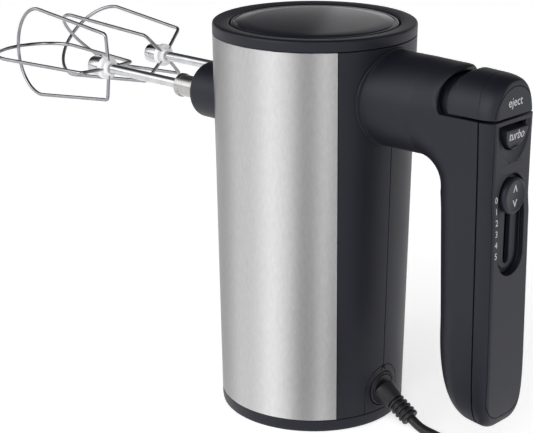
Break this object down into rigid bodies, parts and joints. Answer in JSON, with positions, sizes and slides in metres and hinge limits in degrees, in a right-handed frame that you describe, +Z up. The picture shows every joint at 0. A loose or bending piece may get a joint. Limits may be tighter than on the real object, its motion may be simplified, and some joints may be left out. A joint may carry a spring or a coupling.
{
  "type": "hand mixer",
  "caption": "Hand mixer standing upright on a round motor body, with a steel sleeve, an arm and closed grip behind, and wire beaters in a nose in front.",
  "frame": {"origin": "centre of the base's underside, on the axis of the round body", "axes": "+Z up along the round body, -Y the way the beaters point, +Y towards the grip, +X to the mixer's right as seen from the grip"},
  "size_m": [0.1721, 0.3253, 0.1894],
  "materials": {
    "black_plastic": "satin charcoal black, fine moulded texture",
    "fascia_plastic": "smooth satin charcoal black",
    "steel_sheet": "brushed round the body",
    "chrome_wire": "bright",
    "white_plastic": "smooth white",
    "black_rubber": "matt black",
    "machined_steel": "turned",
    "copper": "bare copper",
    "core_steel": "stacked laminations",
    "nylon": "natural",
    "board": "green laminate",
    "carbon": "dull dark"
  },
  "bodies": {
    "housing": {"base_cap": "black_plastic", "foot_ring": "black_rubber", "base_screw_1": "machined_steel", "base_screw_2": "machined_steel", "base_screw_3": "machined_steel", "shell_right": "black_plastic", "shell_left": "black_plastic", "steel_sleeve": "steel_sheet", "gland_plate": "black_plastic", "lid_ring": "black_plastic", "lid_disc": "fascia_plastic", "nose_housing": "black_plastic", "socket_collar_right": "chrome_wire", "socket_collar_left": "chrome_wire", "handle_shell": "black_plastic", "arm_liner": "black_plastic", "fascia": "fascia_plastic", "rear_cover": "black_plastic", "slider_track": "fascia_plastic", "eject_spring": "machined_steel", "turbo_spring": "machined_steel", "motor_frame": "nylon", "stator": "core_steel", "lower_bearing": "machined_steel", "brush_holder_right": "nylon", "carbon_brush_right": "carbon", "brush_holder_left": "nylon", "carbon_brush_left": "carbon", "control_board": "board", "speed_switch": "carbon", "turbo_switch": "carbon", "suppressor": "carbon", "cord_boot": "black_rubber", "cord_lead": "black_rubber", "cord_coil": "black_rubber", "cord_tail": "black_rubber", "plug": "black_rubber"},
    "rotor": {"motor_shaft": "machined_steel", "rotor_core": "core_steel", "commutator": "copper", "cooling_fan": "nylon", "worm": "machined_steel"},
    "right_spindle": {"spindle_right": "nylon"},
    "left_spindle": {"spindle_left": "nylon"},
    "ejector": {"eject_cap": "black_plastic", "eject_inlay": "fascia_plastic", "eject_yoke": "nylon"},
    "right_pin": {"ejector_pin_right": "machined_steel"},
    "left_pin": {"ejector_pin_left": "machined_steel"},
    "right_beater": {"beater_shaft_right": "chrome_wire", "beater_collar_right": "white_plastic", "beater_loop_right_a": "chrome_wire", "beater_loop_right_b": "chrome_wire"},
    "left_beater": {"beater_shaft_left": "chrome_wire", "beater_collar_left": "white_plastic", "beater_loop_left_a": "chrome_wire", "beater_loop_left_b": "chrome_wire"},
    "turbo": {"turbo_button": "fascia_plastic"},
    "speed": {"speed_knob": "fascia_plastic"}
  },
  "joints": [
    {"name": "motor_spin", "type": "hinge", "parent": "housing", "child": "rotor", "pos_m": [0, 0, 0.08], "axis": [0, 0, 1], "continuous": true},
    {"name": "right_spindle_spin", "type": "hinge", "parent": "housing", "child": "right_spindle", "pos_m": [0.0198, 0, 0.1503], "axis": [0, 1, 0], "continuous": true},
    {"name": "left_spindle_spin", "type": "hinge", "parent": "housing", "child": "left_spindle", "pos_m": [-0.0198, 0, 0.1503], "axis": [0, 1, 0], "continuous": true},
    {"name": "eject_press", "type": "slide", "parent": "housing", "child": "ejector", "axis": [0, -1, 0], "range_m": [0, 0.004], "stiffness_N_per_m": 1500, "springref_m": -0.001, "deforming": ["eject_spring"]},
    {"name": "right_pin_slide", "type": "slide", "parent": "right_spindle", "child": "right_pin", "axis": [0, -1, 0], "range_m": [0, 0.004]},
    {"name": "left_pin_slide", "type": "slide", "parent": "left_spindle", "child": "left_pin", "axis": [0, -1, 0], "range_m": [0, 0.004]},
    {"name": "right_beater_draw", "type": "slide", "parent": "right_pin", "child": "right_beater", "axis": [0, -1, 0], "range_m": [0, 0.045]},
    {"name": "left_beater_draw", "type": "slide", "parent": "left_pin", "child": "left_beater", "axis": [0, -1, 0], "range_m": [0, 0.045]},
    {"name": "turbo_press", "type": "slide", "parent": "housing", "child": "turbo", "axis": [0, -1, 0], "range_m": [0, 0.002], "stiffness_N_per_m": 500, "springref_m": -0.001, "deforming": ["turbo_spring"]},
    {"name": "speed_slide", "type": "slide", "parent": "housing", "child": "speed", "axis": [0, 0, -1], "range_m": [0, 0.025]}
  ],
  "couplings": [
    {"joint": "right_spindle_spin", "follows": "motor_spin", "ratio": 0.066667},
    {"joint": "left_spindle_spin", "follows": "motor_spin", "ratio": -0.066667},
    {"joint": "right_pin_slide", "follows": "eject_press", "ratio": 1},
    {"joint": "left_pin_slide", "follows": "eject_press", "ratio": 1}
  ]
}
